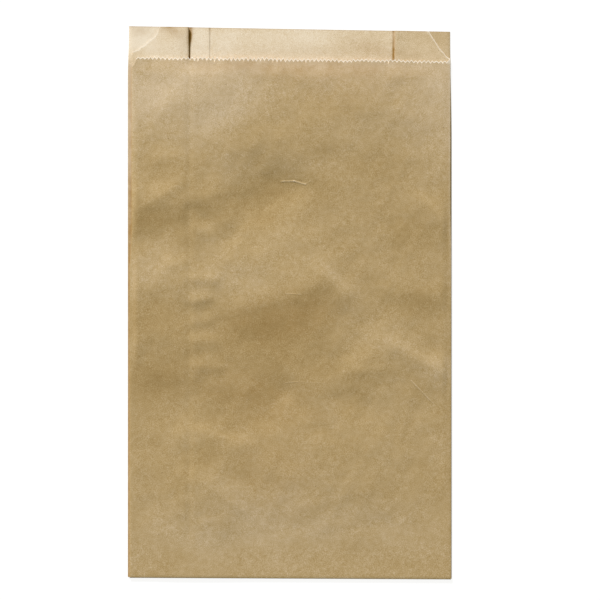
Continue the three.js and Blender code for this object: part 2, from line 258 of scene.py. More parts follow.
# %% Sizes of the folded outline
bag_width = 180
bag_length = 307.6
lip_height = 17.4
mouth_skew = 3.1
front_skew = 2.3
bottom_skew = 0.9
left_pleat = 33.9
right_pleat = 31.7
paper = 0.1
glued_rise = paper + 0.05
lap_width = 12
seam_inset = 45.4
tab_reach = 16.5
tooth_depth = 1.7
tooth_pitch = 2.3
corner_run = 1.5
corner_drop = 5
net_drop = tooth_depth + 0.9

left_side = -bag_width / 2
right_side = bag_width / 2
mouth = bag_length / 2
bottom = -bag_length / 2
seam_inside = left_side + seam_inset
seam_outside = seam_inside - lap_width
left_fold = left_side + left_pleat
right_fold = right_side - right_pleat


def ease(value):
    share = np.clip(value, 0, 1)
    return share * share * (3 - 2 * share)


def bump(distance):
    """A rounded hill of height 1, about 1 wide on each side."""
    return np.exp(-distance * distance)


def across(x):
    return (x - left_side) / bag_width


def back_cut(x):
    return mouth - mouth_skew * across(x)


def front_cut(x):
    return mouth - lip_height - front_skew * across(x)


def front_reach(x):
    """How high the front's net reaches: to just below its teeth, and less at the torn left corner."""
    from_fold = np.clip((x - left_side - 2.0) / corner_run, 0, 1)
    return front_cut(x) - net_drop - (corner_drop - net_drop) * (1 - from_fold) ** 1.6


def bottom_fold(x):
    return bottom + bottom_skew * (1 - across(x))


def tab_cut(x):
    return bottom_fold(x) + tab_reach


# %% [markdown]
# ## How high each layer lies
#
# Six layers lie on each other at the sides and two in the middle. The height of each is a function of
# the place, so the layers follow each other and can't cross. They are pressed at the bottom, spring
# open above it, and the pleats' inner folds stand up a little at the mouth.

# %% Levels of the layers
pressed_gap = 0.07
relaxed_gap = 0.2
pressed_length = 6
spring_length = 50
lap_settle = 28
tab_settle = 28
half_sheet = paper / 2


def inside_back(x, y):
    """The back's left part, whose edge lies on its right part along the lap."""
    left_of_lap = ease((x - seam_outside) / lap_settle + 1)
    right_of_lap = 1 - ease((x - seam_inside) / lap_settle)
    on_lap = np.minimum(left_of_lap, right_of_lap)
    return outside_back(x, y) + glued_rise * on_lap


def outside_back(x, y):
    on_tab = 1 - ease((y - bottom - tab_reach - tooth_depth) / tab_settle)
    return half_sheet + glued_rise * on_tab + 0 * x


def layer_pitch(x, y):
    opened = ease((y - bottom_fold(x) - pressed_length) / spring_length)
    return paper + pressed_gap + (relaxed_gap - pressed_gap) * opened


def fold_spring(x, y):
    """How far a pleat's two layers stand apart at its inner fold, near the mouth."""
    near_mouth = ease((y - mouth) / 26 + 1) ** 2
    left = 0.75 * bump((x - left_fold) / 7)
    right = 0.35 * bump((x - right_fold) / 7)
    return (left + right) * near_mouth


def pleat_back(x, y):
    return inside_back(x, y) + layer_pitch(x, y)


def pleat_front(x, y):
    return inside_back(x, y) + 2 * layer_pitch(x, y) + fold_spring(x, y)


# %% [markdown]
# ## The front's soft buckles
#
# Thin paper never lies flat: where it was pressed, stacked and handled it is left in shallow swells,
# with blunt bends between them. They are less than a millimetre high, but under a low light they are
# most of what the eye sees. Each swell is a soft hill or hollow. Each bend is a line that falls away
# on both sides at its own rate, which gives one dark and one pale flank.

# %% Swells and bends
#         x    y  along across turn height
swells = [
    (-12, 26, 40, 24, -24, 0.4),
    (-60, 112, 34, 12, 30, 0.35),
    (40, 106, 40, 12, 4, 0.35),
    (10, -96, 46, 26, -20, 0.15),
    (6, -143, 10, 7, 0, 0.2),
    (-14, -146, 8, 6, 0, 0.15),
]
#        from     to  height left right rounding
bends = [
    # the left strip, outside the pleat's inner fold
    (-100, 52, -50, 57, 0.9, 28, 11, 0.8),
    (-80, 54, -56, 69, 0.35, 5, 4, 0.5),
    (-78, 79, -56, 82, 0.2, 5, 5, 0.8),
    (-100, 3, -50, 14, 0.8, 18, 15, 1.6),
    (-100, -20, -50, -24, 0.6, 16, 16, 2.0),
    (-100, -53, -50, -58, -0.5, 14, 12, 1.5),
    # beside that fold
    (-57, 56, -34, 63, 0.35, 7, 6, 0.8),
    (-57, 56, -43, 42, -0.3, 5, 4, 0.5),
    (-70, 20, -54, 23, 0.28, 5, 4, 0.5),
    (-56, 42, -40, 37, 0.3, 6, 4, 0.8),
    (-58, 14, -36, 12, 0.4, 8, 3.5, 0.6),
    (-58, 0, -40, 3, 0.45, 5, 3, 0.5),
    (-57, -12, -42, -10, 0.2, 4, 3, 0.6),
    (-57, -22, -40, -20, 0.35, 5, 4, 0.6),
    (-57, -35, -36, -36, 0.4, 6, 4, 0.6),
    # the middle: a valley, a long rise below it, and a drop
    (-40, 86, 28, 88, 0.45, 14, 12, 3.0),
    (-36, 55, 12, 65, -0.9, 13, 16, 0.8),
    (-52, 20, 6, 73, -0.5, 24, 9, 1.0),
    (-36, -3, 12, 4, 0.75, 16, 13, 1.2),
    (0, 3, 22, 14, 0.4, 12, 10, 0.6),
    (14, 22, 34, 0, 0.5, 6, 9, 0.6),
    # below it
    (-64, -66, -14, -63, -0.45, 16, 30, 1.5),
    (-20, -66, 3, -46, -0.6, 10, 12, 0.8),
    (-60, -69, -18, -81, 0.4, 4, 10, 0.8),
    (-58, -94, -22, -120, 0.45, 7, 26, 0.8),
    (22, -51, 52, -62, -0.45, 10, 10, 1.2),
    # the right
    (44, -17, 100, -46, 0.75, 8, 9, 0.6),
    (26, -38, 60, -37, 0.45, 9, 6, 0.8),
    (26, -38, 46, -6, -0.4, 8, 8, 0.8),
    (70, -42, 60, -82, 0.12, 2, 2, 0.5),
    (68, 61, 96, 36, 0.55, 4, 14, 0.8),
    (50, 8, 96, 4, 0.45, 10, 9, 1.2),
]
wave_slope = 0.00058


def swell(spec, x, y):
    middle_x, middle_y, along, over, turn, height = spec
    angle = math.radians(turn)
    dx = x - middle_x
    dy = y - middle_y
    a = (dx * math.cos(angle) + dy * math.sin(angle)) / along
    c = (dy * math.cos(angle) - dx * math.sin(angle)) / over
    return height * np.exp(-a * a - c * c)


def bend(spec, x, y):
    x1, y1, x2, y2, height, left, right, rounding = spec
    length = math.hypot(x2 - x1, y2 - y1)
    ux = (x2 - x1) / length
    uy = (y2 - y1) / length
    along = (x - x1) * ux + (y - y1) * uy
    aside = (y - y1) * ux - (x - x1) * uy
    width = np.where(aside > 0, left, right)
    flank = np.exp(-((np.sqrt(aside * aside + rounding ** 2) - rounding) / width) ** 1.3)
    past_end = np.clip((np.abs(along - length / 2) - 0.2 * length) / (0.45 * length), 0, 1)
    return height * flank * (0.5 + 0.5 * np.cos(np.pi * past_end))


def wobble(x, y):
    """Many small waves in all directions, none more than a few hundredths high."""
    random = np.random.default_rng(12)
    height = 0 * x
    for length in np.geomspace(4, 34, 56):
        turn, start = random.uniform(0, 2 * math.pi, 2)
        along = (x * math.cos(turn) + y * math.sin(turn)) * 2 * math.pi / length
        height = height + wave_slope * length * np.sin(along + start)
    return height


def buckles(x, y):
    height = wobble(x, y)
    for spec in swells:
        height = height + swell(spec, x, y)
    for spec in bends:
        height = height + bend(spec, x, y)
    # Each pleat's inner fold shows through as a faint groove
    return height - 0.18 * bump((x - left_fold - 0.3) / 1.2) - 0.04 * bump((x - right_fold) / 1.5)


def front_air(x, y):
    """The air under the front: a low crown, the buckles on it, and never less than a little."""
    from_side = np.minimum(x - left_side, right_side - x) - 1.5
    from_bottom = y - bottom_fold(x) - pressed_length
    crown = 1.2 * (0.17 * ease(from_side / 3) + 0.83 * ease(from_side / 55)) * ease(from_bottom / 60)
    drooping = 0.35 * ease((y - front_cut(x)) / 10 + 1)
    height = crown + (buckles(x, y) - drooping) * ease(from_side / 3.5) * ease(from_bottom / 25)
    least = 0.08
    above = height - least
    return least + (above + np.hypot(above, 2 * least)) / 2


def front_layer(x, y):
    return pleat_front(x, y) + layer_pitch(x, y) + front_air(x, y)


grid_x, grid_y = np.meshgrid(np.linspace(-85, 85, 171), np.linspace(-145, 130, 276))
print("front lies", round(float(front_layer(grid_x, grid_y).max()), 2), "mm high at most")

# %% [markdown]
# ## Patches of tone and of painted light
#
# Broad soft patches make the paper paler or browner. On the front most of them are painted light and
# shade: paler where the buckles face the low sun and darker where they turn from it, beyond what their
# slope gives, with warm painted shade in the hollows; the rest is the paper's own tone. Brown lines
# are painted shadows beside the pleats' folds and the lap's edge, and the folds are rubbed brown.
# Each point carries them as numbers: `shade` moves the paper's colour from deep to pale,
# `burn` browns it, and `bare` gives it the pale colours of the inner face.

# %% Tones of the front and of the lip
# Most of the front's patches are painted light, sheen and shade: pale where the buckles face the low
# sun, dark where they turn from it, and a pale band under the teeth. The rest is the paper's own tone.
#         x    y  along across turn amount
front_tone_and_painted_light = [
    (-72, 122, 66, 26, 22, 0.30),
    (-38, 108, 34, 12, 45, 0.14),
    (30, 126, 80, 12, -1, 0.17),
    (34, 133, 70, 5, -1, 0.30),
    (-70, 132, 18, 6, 0, -0.07),
    (-22, 124, 28, 5, 0, -0.08),
    (68, 131, 18, 7, 0, -0.10),
    (84, 112, 24, 30, 0, 0.18),
    (44, 98, 24, 10, 0, 0.06),
    (-70, 46, 24, 7, 4, -0.12),
    (-80, 18, 20, 12, 0, 0.08),
    (-34, 14, 22, 9, 0, 0.08),
    (-78, -8, 26, 12, 0, -0.13),
    (-16, 58, 22, 8, 20, -0.08),
    (-8, -14, 28, 11, 4, -0.16),
    (14, 2, 14, 10, -20, -0.08),
    (0, -32, 46, 14, -4, -0.10),
    (-78, -38, 20, 14, 4, -0.06),
    (-46, -84, 10, 6, 0, -0.08),
    (-68, 76, 16, 14, 0, -0.08),
    (-38, -66, 30, 7, 0, -0.08),
    (-20, -124, 54, 14, 0, 0.08),
    (18, -126, 14, 7, 0, 0.06),
    (0, -106, 12, 10, 0, 0.08),
    (-6, 40, 22, 8, 45, 0.04),
    (26, 14, 16, 3, -50, 0.08),
    (66, -28, 30, 6, -28, 0.08),
    (-30, -110, 24, 10, -40, 0.08),
    (20, -110, 50, 16, 0, 0.04),
    (0, -138, 110, 22, 0, 0.06),
    (-76, -46, 18, 13, 0, -0.13),
    (72, 0, 14, 10, 0, -0.14),
    (36, -58, 9, 9, 0, -0.10),
    (66, 38, 15, 11, 0, -0.09),
    (-6, 60, 42, 10, 6, -0.09),
    (-57, 36, 8, 6, 0, -0.12),
    (-14, 45, 14, 5, 10, -0.10),
    (-32, 104, 18, 7, 10, 0.11),
    (84, -43, 8, 8, 0, 0.10),
    (89, 92, 5, 18, 0, 0.09),
    (-54, -92, 12, 9, 0, -0.09),
    (-48, -132, 22, 8, 0, 0.08),
    (60, -124, 14, 10, -20, 0.08),
    (-28, -52, 24, 6, 0, -0.06),
    (64, -144, 14, 6, 0, -0.07),
    (-86, 50, 8, 10, 0, -0.10),
    (-32, 75, 12, 6, 0, 0.07),
    (6, 76, 18, 5, 0, 0.08),
    (37, 76, 9, 6, 0, -0.07),
]
# Warm painted shade in the hollows of the buckles, and a warm brown band under the teeth.
front_brown_and_warm_shade = [
    (14, 131, 52, 6, -1, 0.36),
    (-40, 132, 26, 3, -1, 0.12),
    (-4, -8, 30, 12, 8, 0.20),
    (-20, -50, 40, 14, -10, 0.14),
    (-10, -90, 24, 30, 0, 0.10),
    (30, 118, 36, 10, 0, 0.10),
]
lip_patches = [
    (-74, 150, 14, 6, -10, -0.10),
    (-78, 144, 12, 5, 30, 0.14),
    (-88, 136, 7, 7, 0, -0.40),
    (-68, 141, 12, 4, 0, 0.06),
    (-50, 146, 6, 12, 0, 0.12),
    (-34, 146, 5, 12, -25, 0.22),
    (-22, 152, 30, 2, -1, -0.12),
    (10, 150, 12, 7, -30, 0.16),
    (34, 142, 16, 5, -10, -0.10),
    (46, 148, 8, 8, 0, -0.12),
    (18, 140, 26, 3, -1, -0.06),
    (78, 150, 14, 5, 0, -0.12),
]
lip_burns = [
    (-66, 152, 8, 3, -30, 0.35),
    (-84, 152, 6, 3, 0, 0.25),
    (44, 143, 14, 4, -20, 0.20),
    (10, 139, 60, 4, -1, 0.12),
    (66, 137, 14, 3, 0, 0.12),
]


def blend_of(specs, x, y):
    amount = 0 * x
    for spec in specs:
        amount = amount + swell(spec, x, y)
    return amount


def front_marks(x, y):
    # Painted light along the right fold's upper half, which turns away from the sun.
    right_fold_painted_light = bump((x - right_side + 0.3) / 0.7) * ease((y + 20) / 70)
    shade = blend_of(front_tone_and_painted_light, x, y) + 0.35 * right_fold_painted_light
    return shade, blend_of(front_brown_and_warm_shade, x, y), 0 * x


def inside_marks(x, y):
    """The inner faces at the mouth: the lap is palest, and painted shade darkens them to the right and
    most on the right pleat. Brown lines are painted shadows.
    """
    shade = 0.8 * blend_of(lip_patches, x, y)
    shade = shade + 0.08 * ease((x - left_fold) / 3) * (1 - ease((x - seam_inside) / 2))
    # Painted shade, growing to the right and deepest on the right pleat, which turns away from the sun.
    shade = shade + 0.17 - 0.12 * ease((x - 8) / 45) - 0.22 * ease((x - right_fold + 1.5) / 2)
    near_top = ease((y - mouth) / 15 + 1)
    # Painted shadows as brown lines: beside the left pleat's fold, widest at the top where the fold
    # stands up, along the lap's edge, and under the right pleat's fold.
    lines = bump((x - left_fold - 0.3 - 0.6 * near_top) / (0.45 + 0.95 * near_top))
    lines = lines + (0.05 + 0.45 * near_top) * bump((x - seam_inside - 0.3) / 0.4)
    lines = lines + 0.85 * bump((x - right_fold + 0.7) / 0.6)
    return shade, blend_of(lip_burns, x, y) + lines, 0 * x


def pleat_marks(x, y):
    """The pleats' back layers: in the inner face's pale colours in the torn corners, with painted light
    on the left corner and painted shade on the right one.
    Beside the front they are brown, with painted light where the front's fold shades them.
    """
    at_corner = ease((y - front_cut(x) + 7) / 8)
    # Painted light on the strips beside the front, which the front's fold shades.
    beside = np.where(x < 0, 0.13, 0.5) + 0.56 * ease((y - 20) / 110)
    # Painted light on the left torn corner and painted shade on the right one.
    shade = np.where(x < 0, 0.42, -0.3) * at_corner + beside * (1 - at_corner)
    shade = shade + blend_of(lip_patches, x, y)
    strip_brown = (0.55 - 0.25 * ease((y - 20) / 110)) * (1 - at_corner)
    return shade, strip_brown + blend_of(lip_burns, x, y), at_corner


def outside_marks(x, y):
    """The back's outer face: darker than the front, brown along the lap's edge, and with painted light
    along the bottom fold, which turns away from the sun.
    """
    shade = -0.06 + 0.8 * bump((y - bottom_fold(x)) / 0.8)
    return shade, 0.06 + 0.5 * bump((x - seam_outside - 0.2) / 0.5), 0 * x


#            outer face, inner face
front_paper = (front_marks, inside_marks)
pleat_paper = (pleat_marks, inside_marks)
back_paper = (outside_marks, inside_marks)


# %% [markdown]
# ## One sheet, followed round the tube
#
# The sheet is a net of points in its own middle. It is made column by column, in the order that the
# real strip of paper goes round the tube, and each column is stitched to the one before it. Stitching
# by height lets a fine column meet a coarse one, so the front can have a fine net and the hidden
# layers a coarse one.

# %% The net and its stitches
class Sheet:
    def __init__(self):
        self.points = []
        self.faces = []
        self.marks = {name: ([], []) for name in ("shade", "burn", "bare", "fringe")}

    def add(self, x, y, z, marks, burn=0.0, fringe=0.0):
        """Adds points. `marks` is a pair: one for the outer face and one for the inner face."""
        first = len(self.points)
        self.points.extend(zip(x, y, z))
        for face, marks_of_face in enumerate(marks):
            shade, face_brown_and_shade, bare = marks_of_face(x, y)
            values = {"shade": shade, "burn": face_brown_and_shade + burn, "bare": bare, "fringe": fringe + 0 * x}
            for name, value in values.items():
                self.marks[name][face].extend(value)
        return list(range(first, len(self.points)))

    def stitch(self, left, right):
        """Joins two columns of (height, point), the first on the left as seen from outside."""
        i = 0
        j = 0
        while i < len(left) - 1 or j < len(right) - 1:
            next_left = left[i + 1][0] if i < len(left) - 1 else math.inf
            next_right = right[j + 1][0] if j < len(right) - 1 else math.inf
            if next_left == next_right:
                self.faces.append((left[i][1], right[j][1], right[j + 1][1], left[i + 1][1]))
                i += 1
                j += 1
            elif next_left < next_right:
                self.faces.append((left[i][1], right[j][1], left[i + 1][1]))
                i += 1
            else:
                self.faces.append((left[i][1], right[j][1], right[j + 1][1]))
                j += 1


# %% [markdown]
# ## Rows up the bag
#
# All columns share the same rows, from the bottom fold to the roots of the teeth. The front has them
# all. The hidden layers have each sixth one, but every row near the bottom and near the mouth.

# %% Rows
rows_up_front = 208
rows_up_lip = 10
front_rows = np.append(np.linspace(0, 1, rows_up_front + 1), 0.998).round(5)
front_rows.sort()
near_ends = (front_rows < 0.03) | (front_rows > 0.93)
hidden_rows = front_rows[near_ends | (np.arange(len(front_rows)) % 6 == 0)]
lip_rows = 1 + np.append(np.arange(1, rows_up_lip) / rows_up_lip, [0.97, 1.0])
full_rows = np.concatenate([hidden_rows, lip_rows])


def row_height(rows, x, top):
    """Rows from 0 to 1 run from the bottom fold to the tooth roots, and those to 2 on to the top."""
    up_front = fold_start(x) + (front_reach(x) - fold_start(x)) * np.minimum(rows, 1)
    return up_front + (top - front_reach(x)) * np.maximum(rows - 1, 0)


def bottom_radius(x):
    return (front_layer(x, bottom_fold(x)) - half_sheet) / 2


def fold_start(x):
    return bottom_fold(x) + half_sheet + bottom_radius(x)


print("rows on the front:", len(front_rows), "and on the hidden layers:", len(hidden_rows))

# %% [markdown]
# ## The side folds
#
# Each fold is a half turn between two layers. Its line steps in slightly along the bag, where the
# photograph shows the back's edge beside the front's.

# %% Fold lines
def stepping(side, below, at_mouth, start, over):
    def line(y):
        inset = below + (at_mouth - below) * ease((y - start) / over)
        return side * (right_side - half_sheet - inset)
    return line


class Fold:
    def __init__(self, side, before, after, line):
        self.side = side
        self.before = before
        self.after = after
        self.line = line

    def gap(self, y):
        return self.after(self.line(y), y) - self.before(self.line(y), y)

    def edge(self, y):
        return self.line(y) - self.side * np.abs(self.gap(y)) / 2


back_left_fold = Fold(-1, inside_back, pleat_back, stepping(-1, 0, 0.6, 126, 24))
left_pleat_fold = Fold(1, pleat_back, pleat_front, lambda y: left_fold + 0 * y)
front_left_fold = Fold(-1, pleat_front, front_layer, stepping(-1, 0.8, 2.0, 16, 22))
front_right_fold = Fold(1, front_layer, pleat_front, stepping(1, 0.2, 0.6, 20, 40))
right_pleat_fold = Fold(-1, pleat_front, pleat_back, lambda y: right_fold + 0 * y)
back_right_fold = Fold(1, pleat_back, outside_back, stepping(1, 0, 0.8, 90, 60))

# %% [markdown]
# ## Panels
#
# A panel is the flat paper between two folds, or between a fold and the lap's edge. A column of it
# runs at the same share of the way across, whatever the folds beside it do.

# %% Columns of the panels and folds
class Panel:
    def __init__(self, start, end, level, marks):
        self.start = start
        self.end = end
        self.level = level
        self.marks = marks

    def place(self, share, y):
        return self.start(y) * (1 - share) + self.end(y) * share


def fringe_along(y, top, width):
    return np.clip(1 - (top - y) / width, 0, 1)


def panel_column(sheet, panel, share, rows, top, torn):
    """A column of points. Its top is frayed over this width if it is torn, or else cut clean."""
    middle = panel.place(share, np.array(0.0))
    y = row_height(rows, middle, top)
    x = panel.place(share, y)
    fringe = fringe_along(y, top, torn) if torn and rows[-1] > 1 else 0.0
    burn = 0.0 if torn else 0.4 * (y > top - 0.1)
    ids = sheet.add(x, y, panel.level(x, y), panel.marks, burn, fringe)
    return list(zip(rows, ids))


def fold_columns(sheet, fold, rows, top, marks, burn=0.5, steps=6):
    columns = []
    for step in range(1, steps):
        angle = math.pi * step / steps
        y = row_height(rows, fold.edge(np.array(0.0)), top)
        gap = fold.gap(y)
        x = fold.edge(y) + fold.side * np.abs(gap) / 2 * math.sin(angle)
        z = fold.before(fold.line(y), y) + gap * (1 - math.cos(angle)) / 2
        columns.append(list(zip(rows, sheet.add(x, y, z, marks, burn))))
    return columns


# %% [markdown]
# ## Cut, toothed and torn edges
#
# The back is cut straight. The front is cut by a toothed knife, which leaves a zigzag of slightly
# uneven teeth with a fringe of pale fibres. The front layer of each pleat is torn at the corner.

# %% The mouth's edges
def plain_columns(sheet, panel, shares):
    columns = []
    for share in shares:
        top = back_cut(panel.place(share, np.array(mouth)))
        columns.append(panel_column(sheet, panel, share, full_rows, top, 0))
    return columns


left_tear = {
    "run": 2.4,
    "rise": 3.1,
    "width": 15.2,
    "path": [(0, 0), (0.28, 0.11), (0.58, 0.37), (0.85, 0.6), (0.95, 0.79), (1, 1)],
    "from": 0.02,
    "seed": 3,
}
right_tear = {
    "run": 1.9,
    "rise": 1.5,
    "width": 11.8,
    "path": [(0, 0), (0.18, 0.1), (0.5, 0.38), (0.65, 0.58), (0.94, 0.92), (1, 1)],
    "from": 0,
    "seed": 8,
}


def torn_columns(sheet, panel, tear, corner):
    """A pleat's front layer, from the front's fold inwards."""
    span = abs(float(panel.end(np.array(mouth)) - panel.start(np.array(mouth))))
    torn = tear["width"] / span
    path = np.array(tear["path"])
    steps = np.linspace(tear["from"], 1, 29)
    rise = np.interp(steps, path[:, 0], path[:, 1])
    rough = np.random.default_rng(tear["seed"]).normal(0, 0.014, len(steps))
    rise = rise + rough * np.sin(np.pi * steps)
    columns = []
    for step, up in zip(steps, rise):
        share = step * torn
        cut = back_cut(panel.place(share, np.array(mouth)))
        top = corner + (cut - corner) * up
        columns.append(panel_column(sheet, panel, share, full_rows, top, 0.8))
    return columns + plain_columns(sheet, panel, np.linspace(torn, 1, 13)[1:])


def tooth_line(start, end, line, seed):
    """Places along a toothed cut: roots and tips in turn, each a little off its mark."""
    random = np.random.default_rng(seed)
    count = round((end - start) / tooth_pitch)
    x = np.linspace(start, end, 4 * count + 1)
    phase = np.arange(4 * count + 1) % 4
    shape = np.choose(phase, [-0.5, 0.05, 0.5, 0.05])
    middle = (x - start) / (end - start)
    depth = tooth_depth * (0.72 + 0.3 * bump((middle - 0.42) / 0.3))
    depth = depth * random.uniform(0.6, 1.25, len(x))
    wander = np.interp(x, x[::8], random.normal(0, 0.16, len(x[::8])))
    aside = np.clip(random.normal(0, 0.14, len(x)), -0.24, 0.24)
    return x + aside, line(x) + shape * depth + wander + random.normal(0, 0.07, len(x))


def tab_column(sheet, x, inset):
    """Below its first row the front turns under, and runs back up as the tab."""
    radius = bottom_radius(x)
    steps = 8
    angle = np.pi * np.arange(1, steps + 1) / steps
    y = fold_start(x) - radius * np.sin(angle)
    z = half_sheet + radius * (1 + np.cos(angle))
    end = tab_cut(x) - net_drop
    y = np.append(y, np.linspace(y[-1], end, 8)[1:])
    z = np.append(z, np.full(7, half_sheet))
    xs = np.full(len(y), float(x))
    xs[steps:] += inset * np.linspace(0, 1, 8)[1:]
    # The bottom fold's turn is kept free of the back's brown, as a little painted light where it faces
    # away from the sun.
    burn = -0.06 * (np.arange(len(y)) < steps)
    ids = sheet.add(xs, y, z, back_paper, burn)
    return list(zip(-np.arange(1.0, len(y) + 1), ids))[::-1]


def tooth_strip(sheet, start, end, line, seed, level, marks):
    """Chains along the teeth, pale with fibre at the edge, for the caller to stitch to each other."""
    x, y = tooth_line(start, end, line, seed)
    chains = []
    for inset, fringe in ((0, 1.0), (0.4, 0.85), (0.75, 0.0)):
        ids = sheet.add(x, y - inset, level(x, y - inset), marks, fringe=fringe)
        chains.append(list(zip(x.tolist(), ids)))
    return chains


def front_columns(sheet, panel, right_corner):
    """The front with its teeth at the mouth and the tab under the bottom."""
    count = 132
    ends = {
        0: (hidden_rows, left_tear["run"]),
        count: (np.append(hidden_rows, 2.0), -right_tear["run"]),
    }
    columns = []
    for index, share in enumerate(np.linspace(0, 1, count + 1)):
        rows, inset = ends.get(index, (front_rows, 0))
        upper = panel_column(sheet, panel, share, rows, right_corner, 0.8)
        x = panel.place(share, np.array(float(bottom)))
        columns.append(tab_column(sheet, x, inset) + upper)
    net = [[point for point in column if point[0] <= 1] for column in columns]
    for before, after in zip(net, net[1:]):
        sheet.stitch(before, after)

    def by_x(entry):
        return (sheet.points[entry[1]][0], entry[1])

    roots = [by_x(column[-1]) for column in net]
    corner = by_x(columns[-1][-1])
    start = roots[0][0] + ends[0][1]
    end = corner[0] + ends[count][1]
    edge, middle, inner = tooth_strip(
        sheet, start, end, front_cut, 5, panel.level, panel.marks)
    torn = [point for place, point in roots if place < start]
    for point in torn[:-1]:
        sheet.marks["fringe"][0][point] = 0.6
    sheet.stitch(edge, middle)
    sheet.stitch([edge[-1], corner], middle[-1:])
    sheet.stitch([*middle, corner], inner)
    sheet.stitch([*inner, corner], roots[len(torn) - 1:])

    ends_below = [by_x(column[0]) for column in net]

    def lying(x, y):
        return half_sheet + 0 * x

    edge, middle, inner = tooth_strip(
        sheet, ends_below[0][0], ends_below[-1][0], tab_cut, 6, lying, back_paper)
    sheet.stitch(middle, edge)
    sheet.stitch(inner, middle)
    sheet.stitch(ends_below, inner)
    return [[point for point in column if point[0] >= 0] for column in (columns[0], columns[-1])]


# %% [markdown]
# ## The whole tube
#
# The strip starts at the lap's edge inside the bag, goes round by the left pleat, the front and the
# right pleat, and ends at the lap's edge outside.

# %% Fold the sheet
sheet = Sheet()
back_left = Panel(lambda y: seam_inside + 0 * y, back_left_fold.edge, inside_back, back_paper)
left_pleat_back = Panel(back_left_fold.edge, left_pleat_fold.edge, pleat_back, pleat_paper)
left_pleat_front = Panel(front_left_fold.edge, left_pleat_fold.edge, pleat_front, pleat_paper)
front = Panel(front_left_fold.edge, front_right_fold.edge, front_layer, front_paper)
right_pleat_front = Panel(front_right_fold.edge, right_pleat_fold.edge, pleat_front, pleat_paper)
right_pleat_back = Panel(right_pleat_fold.edge, back_right_fold.edge, pleat_back, pleat_paper)
back_right = Panel(back_right_fold.edge, lambda y: seam_outside + 0 * y, outside_back, back_paper)

left_corner = front_cut(left_side) + left_tear["rise"]
right_corner = front_cut(right_side) + right_tear["rise"]
right_rows = np.append(hidden_rows, 2.0)
front_start, front_end = front_columns(sheet, front, right_corner)


def cut_at(fold):
    return back_cut(fold.line(np.array(float(mouth))))


def even_shares(count):
    return np.linspace(0, 1, count + 1)


def close_shares(start, end, lines):
    """Even shares of the way from start to end, and close ones about each brown line."""
    shares = even_shares(32)
    for line in lines:
        near = line + np.arange(-2, 2.1, 0.4)
        shares = np.append(shares, (near - start) / (end - start))
    return np.unique(np.clip(shares, 0, 1).round(4))


lap_and_fold = [right_fold - 0.7, seam_inside + 0.4, seam_outside]
left_half = [
    *plain_columns(sheet, back_left, close_shares(seam_inside, left_side, [left_fold + 0.8])),
    *fold_columns(sheet, back_left_fold, full_rows, cut_at(back_left_fold), pleat_paper, 0.1),
    *plain_columns(sheet, left_pleat_back, even_shares(14)),
    *fold_columns(sheet, left_pleat_fold, full_rows, cut_at(left_pleat_fold), pleat_paper, 0),
    *torn_columns(sheet, left_pleat_front, left_tear, left_corner)[::-1],
    panel_column(sheet, left_pleat_front, 0, hidden_rows, left_corner, 0.8),
    *fold_columns(sheet, front_left_fold, hidden_rows, left_corner, front_paper),
    front_start,
]
right_half = [
    front_end,
    *fold_columns(sheet, front_right_fold, right_rows, right_corner, front_paper, 0),
    *torn_columns(sheet, right_pleat_front, right_tear, right_corner),
    # The right pleat's fold is browned as painted shade under its edge.
    *fold_columns(sheet, right_pleat_fold, full_rows, cut_at(right_pleat_fold), pleat_paper),
    *plain_columns(sheet, right_pleat_back, even_shares(14)),
    *fold_columns(sheet, back_right_fold, full_rows, cut_at(back_right_fold), pleat_paper, 0),
    *plain_columns(sheet, back_right, close_shares(right_side, seam_outside, lap_and_fold)),
]
for half in (left_half, right_half):
    for before, after in zip(half, half[1:]):
        sheet.stitch(before, after)
triangles = sum(len(face) - 2 for face in sheet.faces)
print("net of", len(sheet.points), "points and", triangles, "triangles")

# %% [markdown]
# ## Thickness
#
# A net has no thickness. Each point is moved half a sheet out and half a sheet in, along the net's
# own normal, and a rim of faces joins the two skins all round. The outer face, the inner face and the
# rim get different materials.

# %% Give the sheet its two faces and its rim
def open_edges(faces):
    """The edges that only one face has."""
    edges = {}
    for face in faces:
        for start, end in zip(face, face[1:] + face[:1]):
            if (end, start) in edges:
                del edges[(end, start)]
            else:
                edges[(start, end)] = True
    return list(edges)


def thick_sheet(name, sheet, thickness):
    middle = bpy.data.meshes.new(name + "_middle")
    middle.from_pydata(sheet.points, [], sheet.faces)
    middle.update()
    count = len(sheet.points)
    normals = np.empty(3 * count)
    middle.vertices.foreach_get("normal", normals)
    normals = normals.reshape(-1, 3)
    bpy.data.meshes.remove(middle)
    points = np.array(sheet.points)
    skins = np.concatenate([points + normals * thickness / 2, points - normals * thickness / 2])
    rim = [(end, start, start + count, end + count) for start, end in open_edges(sheet.faces)]
    inner = [tuple(point + count for point in reversed(face)) for face in sheet.faces]
    mesh = bpy.data.meshes.new(name)
    mesh.from_pydata(skins * MM, [], sheet.faces + inner + rim)
    faces = len(sheet.faces)
    finish = np.repeat([0, 1, 2], [faces, faces, len(rim)]).astype(np.int32)
    mesh.polygons.foreach_set("material_index", finish)
    mesh.polygons.foreach_set("use_smooth", np.ones(len(finish), dtype=bool))
    for label, values in sheet.marks.items():
        layer = mesh.attributes.new(label, "FLOAT", "POINT")
        layer.data.foreach_set("value", np.concatenate(values).astype(np.float32))
    mesh.update()
    sharpen_rim(mesh, rim)
    print(name, "has", len(skins), "points;", len(rim), "faces in the rim")
    return mesh


